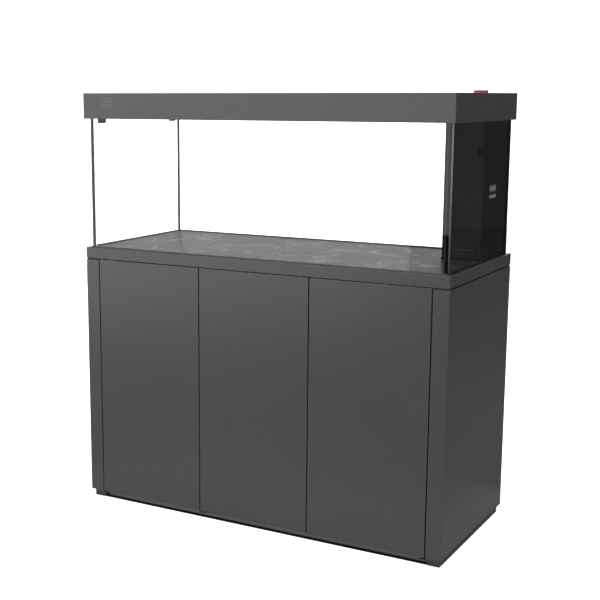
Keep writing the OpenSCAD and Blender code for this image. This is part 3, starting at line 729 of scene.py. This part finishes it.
corner_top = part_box("silicone_seams")[1].z
left_x, front_y = inside_low.x, inside_low.y
right_x, rear_y = inside_high.x, inside_high.y
filter_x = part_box("filter_front_wall")[0].x
filter_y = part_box("filter_front_wall")[0].y
joint_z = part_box("floor_glass")[0].z
film = (0.04 * mm, 0.26 * mm)
trim_t = 0.8 * mm
trim_grey = solid("grey_sealant", coloured(0.105), coloured(0.12), 0.5, 3 * mm, 0.02 * mm)
fit(join("clear_bead", [
    bead((left_x, front_y, floor_z), (left_x, front_y, corner_top), ((1, 0, 0), (0, 1, 0))),
]), silicone, body=stand, slot=SLOTS["silicone_seams"])
fit(join("milky_beads", [
    bead((left_x, rear_y, floor_z), (left_x, rear_y, corner_top), ((1, 0, 0), (0, -1, 0))),
    bead((right_x, front_y, floor_z), (right_x, front_y, corner_top), ((-1, 0, 0), (0, 1, 0))),
    bead((left_x, front_y + seam, floor_z), (left_x, rear_y - seam, floor_z),
         ((1, 0, 0), (0, 0, 1))),
    bead((left_x + seam, rear_y, floor_z), (filter_x, rear_y, floor_z), ((0, -1, 0), (0, 0, 1))),
]), milky_silicone, "silicone_seams")
fit(block("front_floor_joint", (left_x, front_y + film[0], joint_z),
          (right_x, front_y + film[1], floor_z)),
    painted_lit_silicone, body=stand, slot=SLOTS["silicone_seams"])
pane_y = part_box("front_glass")[0].y
trim = block("front_seat_trim", (-mat_high.x, pane_y - trim_t, top_high.z),
             (mat_high.x, pane_y, floor_z + trim_t))
ease(trim, 0.3 * mm, 2)
fit(trim, trim_grey, body=stand, slot=SLOTS["silicone_seams"])
fit(join("black_beads", [
    bead((right_x, filter_y, floor_z), (right_x, filter_y, corner_top), ((-1, 0, 0), (0, -1, 0))),
    bead((filter_x, filter_y, floor_z), (right_x - seam, filter_y, floor_z),
         ((0, -1, 0), (0, 0, 1))),
    bead((filter_x, filter_y, floor_z), (filter_x, rear_y - seam, floor_z),
         ((-1, 0, 0), (0, 0, 1))),
    block("joint", (filter_x, rear_y - film[1], joint_z),
          (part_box("right_glass")[1].x, rear_y - film[0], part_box("filter_liner")[1].z)),
    block("joint", (right_x - film[1], filter_y, joint_z),
          (right_x - film[0], rear_y - glass_room, floor_z + 2 * mm)),
]), black_silicone, body=stand, slot=SLOTS["silicone_seams"])


# ---- Stone floor ----
# Thin sheet of grey stone-look laminate on the floor pane, with paler veins and a fine fleck.

vein_bend = 250 * mm
vein_gap = 160 * mm
vein_start, vein_full = 0.955, 0.995
fleck_size = 3 * mm
patch_size = 110 * mm
stone, stone_face, stone_root = new_finish("grey_stone", {})
stone_place = stone_root.node("TexCoord", output="Object")
warp = stone_root.node("TexNoise", {}, {"Vector": stone_place, "Scale": 5, "Detail": 5},
                       output="Color")
bent = stone_root.node("VectorMath", {"operation": "MULTIPLY_ADD"},
                       {0: warp, 1: (vein_bend, vein_bend, 0), 2: stone_place})
ridge = 1 - abs(2 * noise(stone_root, bent, vein_gap, 4) - 1)
veins = ramp(stone_root, ridge, vein_start, vein_full)
fleck = noise(stone_root, stone_place, fleck_size, 3)
patch = noise(stone_root, stone_place, patch_size, 5)
stone_base = mix(stone_root, 0.55 * patch + 0.45 * fleck, coloured(0.29, (0.98, 0.965, 1)),
                 coloured(0.42, (0.985, 0.97, 1)))
mix(stone_root, 0.45 * veins, stone_base, coloured(0.85)).into(stone_face, "Base Color")
(0.34 + 0.2 * fleck - 0.08 * veins).into(stone_face, "Roughness")
bumped(stone_root, stone_face, fleck, 0.06 * mm)
sheet_low, sheet_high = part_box("stone_floor")
sheet_lift = 0.1 * mm
sheet_round = 0.4 * mm
sheet = block("stone_sheet", sheet_low + Vector((glass_room, glass_room, sheet_lift)),
              sheet_high - Vector((glass_room, glass_room, 0)))
ease(sheet, sheet_round, 2)
fit(sheet, stone, "stone_floor")


# ---- Corner filter ----
# Chamber of black acrylic sheet glued into the right rear corner: two walls towards the tank, a
# liner against the panes, a partition, and a nozzle frame with a turning vane in the front wall.

# The front wall, intake wall and partition get a grey far paler than the liner's black: painted
# light, a lit copy of the same black sheet standing in for the light the glass keeps off them.
painted_lit_acrylic = solid("black_acrylic", (0.1500, 0.1500, 0.1505, 1), coloured(0.02), 0.12, 30 * mm,
                0.03 * mm, {"Specular IOR Level": 0.40})
liner_acrylic = solid("black_liner", (0.0135, 0.0135, 0.0140, 1), coloured(0.01), 0.30, 30 * mm,
                      0.03 * mm, {"Specular IOR Level": 0.10})
port_low, port_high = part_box("outlet_port")
port_fit = 0.1 * mm
sawn_edge = 0.4 * mm
wall_low, wall_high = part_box("filter_front_wall")
wall = block("filter_front_sheet", wall_low, wall_high - Vector((glass_room, 0, 0)))
ease(wall, sawn_edge, 1)
cut(wall, block("port_hole", (port_low.x - port_fit, wall_low.y - mm, port_low.z - port_fit),
                (port_high.x + port_fit, wall_high.y + mm, port_high.z + port_fit)))
fit(wall, painted_lit_acrylic, "filter_front_wall")

slot_count = 9
slot_w = 3 * mm
slot_h = 24 * mm
slot_round = 1.4 * mm
slot_foot, slot_top = 14 * mm, 12 * mm
wall_low, wall_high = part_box("filter_left_wall")
sheet_t = wall_high.x - wall_low.x
chamber_y = (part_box("media_basket")[0].y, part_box("filter_liner")[1].y - sheet_t)
slot_pitch = (chamber_y[1] - chamber_y[0]) / slot_count
slot_rows = (floor_z + slot_foot, wall_high.z - slot_top - slot_h)
wall = block("filter_intake_sheet", wall_low, wall_high)
ease(wall, sawn_edge, 1)
first_slot = chamber_y[0] + slot_pitch / 2
slots = block("slot", (wall_low.x - mm, first_slot - slot_w / 2, slot_rows[0]),
              (wall_high.x + mm, first_slot + slot_w / 2, slot_rows[0] + slot_h))
apply(slots, "BEVEL", width=slot_round, segments=3, limit_method="ANGLE")
apply(slots, "ARRAY", count=slot_count, use_relative_offset=False, use_constant_offset=True,
      constant_offset_displace=(0, slot_pitch, 0))
apply(slots, "ARRAY", count=2, use_relative_offset=False, use_constant_offset=True,
      constant_offset_displace=(0, 0, slot_rows[1] - slot_rows[0]))
cut(wall, slots)
fit(wall, painted_lit_acrylic, "filter_left_wall")

liner_low, liner_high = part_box("filter_liner")
groove_w = 1.6 * mm
groove_y = wall_low.y - sheet_t + 63 * mm
grooves = ((floor_z + 40 * mm, floor_z + 152 * mm), (floor_z + 220 * mm, liner_high.z - 35 * mm))
notch_y = (high.y - 86.5 * mm, high.y - 43.5 * mm)
notch_z = 1202 * mm
liner = block("filter_liner_sheet", liner_low, liner_high - Vector((glass_room, glass_room, 0)))
ease(liner, sawn_edge, 1)
cut(liner, block("chamber", (liner_low.x - mm, liner_low.y - mm, liner_low.z - mm),
                 (liner_high.x - sheet_t, liner_high.y - sheet_t, liner_high.z + mm)))
for bottom, end in grooves:
    cut(liner, block("groove", (liner_high.x - mm, groove_y - groove_w / 2, bottom),
                     (liner_high.x + mm, groove_y + groove_w / 2, end)))
cut(liner, block("clip_notch", (liner_high.x - sheet_t - mm, notch_y[0], notch_z),
                 (liner_high.x + mm, notch_y[1], liner_high.z + mm)))
fit(liner, liner_acrylic, "filter_liner")

frame_wall = 2 * mm
nozzle = block("outlet_nozzle_frame", port_low, port_high)
ease(nozzle, 0.5 * mm, 2)
cut(nozzle, block("mouth", (port_low.x + frame_wall, port_low.y - mm, port_low.z + frame_wall),
                  (port_high.x - frame_wall, port_high.y + mm, port_high.z - frame_wall)))
fit(nozzle, black_plastic, "outlet_port")
dress(black_plastic, "outlet_vane", "riser_pipe", "pump_housing", "media_basket")
dress(nylon, "pump_impeller")
dress(painted_lit_acrylic, "filter_partition")

sponge, sponge_face, sponge_root = new_finish("blue_sponge", {})
sponge_place = sponge_root.node("TexCoord", output="Object")
pores_and_shade = sponge_root.node("TexVoronoi", {}, {"Vector": sponge_place, "Scale": 450})
# Deep blue in the pores, where the bump is lowest: painted shade in the holes.
mix(sponge_root, ramp(sponge_root, pores_and_shade, 0.1, 0.6), (0.02, 0.07, 0.17, 1),
    (0.06, 0.20, 0.45, 1)).into(sponge_face, "Base Color")
(0.8 + 0.15 * pores_and_shade).into(sponge_face, "Roughness")
bumped(sponge_root, sponge_face, pores_and_shade, 1.2 * mm)
dress(sponge, "filter_sponge")


# ---- Printed marks ----
# Generic pale marks without lettering: a row of diamonds over a bar on the outside of the right
# pane, and two rows of short dashes at the foot of the filter's front wall.

ink = solid("pale_ink", coloured(0.20), coloured(0.24), 0.5, 0.6 * mm, 0.002 * mm)
# A lit copy of the pale ink for the dashes, which sit in shade at the filter's foot: painted light.
painted_lit_ink = solid("painted_lit_ink", coloured(0.50), coloured(0.55), 0.5, 0.6 * mm, 0.002 * mm)
pane_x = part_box("right_glass")[1].x
print_x = (pane_x + 0.05 * mm, pane_x + 0.15 * mm)
badge_y = (68 * mm, 130 * mm)
bar_z = (998 * mm, 1008 * mm)
diamond_r = 12 * mm
diamond_z = 1026 * mm
diamond_step = (badge_y[1] - badge_y[0] - 2 * diamond_r) / 2
marks = [block("bar", (print_x[0], badge_y[0], bar_z[0]), (print_x[1], badge_y[1], bar_z[1]))]
for step in range(3):
    diamond_y = badge_y[0] + diamond_r + step * diamond_step
    marks.append(rod("diamond", diamond_r, (print_x[0], diamond_y, diamond_z),
                     (print_x[1], diamond_y, diamond_z), 4))
fit(join("printed_badge", marks), ink, body=stand, slot=SLOTS["filter_front_wall"])

dash_x = 493 * mm
dash_y = filter_y - 0.15 * mm
dash_t = 0.1 * mm
row_l = 59 * mm
dashes = []
for dash_z, dash_h, dash_w, pitch in ((847 * mm, 6 * mm, 5 * mm, 7.5 * mm),
                                      (837 * mm, 3 * mm, 3 * mm, 5 * mm)):
    dash = block("dash", (dash_x, dash_y, dash_z),
                 (dash_x + dash_w, dash_y + dash_t, dash_z + dash_h))
    apply(dash, "ARRAY", fit_type="FIT_LENGTH", fit_length=row_l, use_relative_offset=False,
          use_constant_offset=True, constant_offset_displace=(pitch, 0, 0))
    dashes.append(dash)
fit(join("printed_dashes", dashes), painted_lit_ink, body=stand, slot=SLOTS["filter_front_wall"])


# ---- Hood ----
# Painted frame that drops over the top of the glass and rests on four clips. A flush top panel
# lies in its rebate, with a feeding flap at the front and a filter flap at the right rear. A
# faint generic mark of wavy lines is printed at the left of the front.

hood_paint = solid("hood_grey_paint", (0.0620, 0.0623, 0.0633, 1), coloured(0.15), 0.27, 1.8 * mm,
                   0.006 * mm)
hood_low, hood_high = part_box("hood_frame")
mark_x = (-532 * mm, -490 * mm)
mark_z = (1250 * mm, 1283 * mm)
line_rate, wave_rate = 600, 300
wave_height = 2.5 * mm
hood_surface = hood_paint.node_tree.nodes["Principled BSDF"]
hood_root = Wire(hood_paint.node_tree)
hood_place = hood_root.node("TexCoord", output="Object")
x, y, z = (hood_root.node("SeparateXYZ", {}, {0: hood_place}, output=axis) for axis in "XYZ")
on_front = (mark_x[0] < x) * (x < mark_x[1]) * (mark_z[0] < z) * (z < mark_z[1]) * (
    y < hood_low.y + mm)
wave = wave_height * hood_root.math("SINE", wave_rate * x, 0)
ripple = hood_root.math("SINE", line_rate * (z + wave), 0)
base = Wire(hood_root.tree, hood_surface.inputs["Base Color"].links[0].from_socket)
mix(hood_root, 0.8 * on_front * (0.1 < ripple), base, coloured(0.105)).into(
    hood_surface, "Base Color")
deck_low, deck_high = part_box("hood_top")
clip_low, clip_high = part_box("hood_clips")
hood_wall = 6 * mm
rebate_wall = 3 * mm
ledge_w = 30 * mm
ledge_t = 3 * mm
ledge = (clip_high.z, clip_high.z + ledge_t)
rim_round = 1.2 * mm
notch_x = (400 * mm, 480 * mm)


def opening(wall, bottom, end):
    """Block as wide and deep as the space inside a wall of the hood frame."""
    return block("opening", (hood_low.x + wall, hood_low.y + wall, bottom),
                 (hood_high.x - wall, hood_high.y - wall, end))


rim = block("hood_rim", hood_low, hood_high)
ease(rim, rim_round)
cut(rim, opening(hood_wall, hood_low.z - mm, ledge[0]),
    opening(hood_wall + ledge_w, ledge[0] - mm, ledge[1] + mm),
    opening(hood_wall, ledge[1], deck_low.z),
    opening(rebate_wall, deck_low.z, hood_high.z + mm),
    block("rear_notch", (notch_x[0], hood_high.y - hood_wall - ledge_w - mm, hood_low.z - mm),
          (notch_x[1], hood_high.y + mm, ledge[1] + mm)))
fit(rim, hood_paint, "hood_frame")

flap_gap = 1.6 * mm
flap_t = deck_high.z - deck_low.z
flap_round = 0.5 * mm
axis_z = deck_high.z - flap_t / 2
stub_r = 1.5 * mm
stub_l = 6 * mm
stub_room = 0.05 * mm
finger_r = 16 * mm
flaps = {}
for node in ("feeding_flap", "filter_flap"):
    flap_low, flap_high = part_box(node)
    flap_low.x += stub_l
    flap_high.x -= stub_l
    flap_low.y -= flap_gap
    flap_high.y += flap_gap
    flaps[node] = (flap_low, flap_high)
deck = block("hood_deck", deck_low, deck_high)
ease(deck, flap_round, 2)
for flap_low, flap_high in flaps.values():
    cut(deck, block("flap_opening", flap_low - Vector((0, 0, mm)), flap_high + Vector((0, 0, mm))))
    axis_y = flap_high.y - flap_gap - flap_t / 2
    cut(deck, rod("stub_bore", stub_r + stub_room, (flap_low.x - stub_l - mm, axis_y, axis_z),
                  (flap_high.x + stub_l + mm, axis_y, axis_z)))
fit(deck, hood_paint, "hood_top")

for node, (flap_low, flap_high) in flaps.items():
    inset = Vector((flap_gap, flap_gap, 0))
    plate = block(node + "_plate", flap_low + inset, flap_high - inset)
    ease(plate, flap_round, 2)
    axis_y = flap_high.y - flap_gap - flap_t / 2
    cut(plate, rod("stub", stub_r, (flap_low.x - stub_l, axis_y, axis_z),
                   (flap_high.x + stub_l, axis_y, axis_z)), operation="UNION")
    if node == "feeding_flap":
        middle_x = (flap_low.x + flap_high.x) / 2
        cut(plate, rod("finger_hole", finger_r, (middle_x, flap_low.y + flap_gap, flap_low.z - mm),
                       (middle_x, flap_low.y + flap_gap, flap_high.z + mm), 64))
    fit(plate, hood_paint, node)


# ---- Finger pull ----
# Red moulded grip on the filter flap, with drafted ends and rounded edges, held by a stem that
# passes through the flap to a retaining plate.

red = solid("red_moulded_plastic", (0.27, 0.012, 0.014, 1), (0.60, 0.06, 0.06, 1), 0.32, 0.8 * mm,
            0.02 * mm)
pull_low, pull_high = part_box("filter_flap_pull")
draft = 1.2 * mm
draft_share = 0.94
grip_round = 1.0 * mm
stem = Vector((12 * mm, 3 * mm, 0))
pull_top = deck_high.z
grip = block("red_finger_pull", (pull_low.x, pull_low.y, pull_top), pull_high)
pick(grip, "polygons", lambda place, facing: facing.z > 0.9)
bpy.ops.transform.resize(value=(1 - 2 * draft / (pull_high.x - pull_low.x), draft_share, 1))
done()
ease(grip, grip_round, 4)
pull_mid = (pull_low + pull_high) / 2
cut(grip, block("stem", (pull_mid.x - stem.x, pull_mid.y - stem.y, pull_low.z),
                (pull_mid.x + stem.x, pull_mid.y + stem.y, pull_top + mm)), operation="UNION")
plate_grow = Vector((2 * mm, 2 * mm, 0))
cut(grip, block("plate", Vector((pull_mid.x, pull_mid.y, pull_low.z)) - stem - plate_grow,
                Vector((pull_mid.x, pull_mid.y, deck_low.z)) + stem + plate_grow),
    operation="UNION")
fit(grip, red, "filter_flap_pull")


# ---- Hood clips ----
# Four bent strips over the top of the side panes, with rounded inner legs. The hood's ledge
# rests on them.

clip_t = 3 * mm
clip_l = 41 * mm
clip_inset = 44.5 * mm
leg_round = 6 * mm
clip_round = 0.3 * mm
pane_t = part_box("right_glass")[1].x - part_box("right_glass")[0].x
outer_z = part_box("filter_front_wall")[1].z
clips = []
for out in (-1, 1):
    for end in (-1, 1):
        near = end * (high.y - clip_inset)
        far = near - end * clip_l
        face = clip_high.x - clip_t
        inner = face - pane_t
        xs = sorted((out * (inner - clip_t), out * clip_high.x))
        ys = sorted((near, far))
        strip = block("clip", (xs[0], ys[0], clip_low.z), (xs[1], ys[1], clip_high.z))
        pick(strip, "edges", lambda place, along: abs(along.x) > 0.9 and place.z < clip_low.z + mm)
        bpy.ops.mesh.bevel(offset=leg_round, segments=6)
        done()
        room = sorted((out * (inner - glass_room), out * (face + glass_room)))
        cut(strip, block("glass_slot", (room[0], ys[0] - mm, clip_low.z - mm),
                         (room[1], ys[1] + mm, clip_high.z - clip_t)))
        lobe = sorted((out * face, out * (clip_high.x + mm)))
        cut(strip, block("short_leg", (lobe[0], ys[0] - mm, clip_low.z - mm),
                         (lobe[1], ys[1] + mm, outer_z)))
        ease(strip, clip_round, 2)
        clips.append(strip)
fit(join("hood_clip_strips", clips), hood_paint, "hood_clips")


# ---- Light ----
# Folded aluminium channel along the hood, closed by black end caps, with a ribbed white diffuser
# under its row of lamps.

aluminium = metal("brushed_aluminium", (0.62, 0.63, 0.64, 1), 0.30, (4, 700, 700))
diffuser, diffuser_face, diffuser_root = new_finish("white_diffuser", {
    "Transmission Weight": 0.4, "IOR": 1.49})
diffuser_place = diffuser_root.node("TexCoord", output="Object")
ribs_and_shade = diffuser_root.node("TexWave", {"bands_direction": "Y"},
                          {"Vector": diffuser_place, "Scale": 100}, output="Fac")
# Greyer in the rib troughs, where the bump is lowest: painted shade.
mix(diffuser_root, ribs_and_shade, coloured(0.72), coloured(0.85)).into(diffuser_face, "Base Color")
(0.3 + 0.2 * ribs_and_shade).into(diffuser_face, "Roughness")
bumped(diffuser_root, diffuser_face, ribs_and_shade, 0.3 * mm)
dress(aluminium, "light_housing")
dress(black_plastic, "light_end_caps")
dress(diffuser, "light_lens")
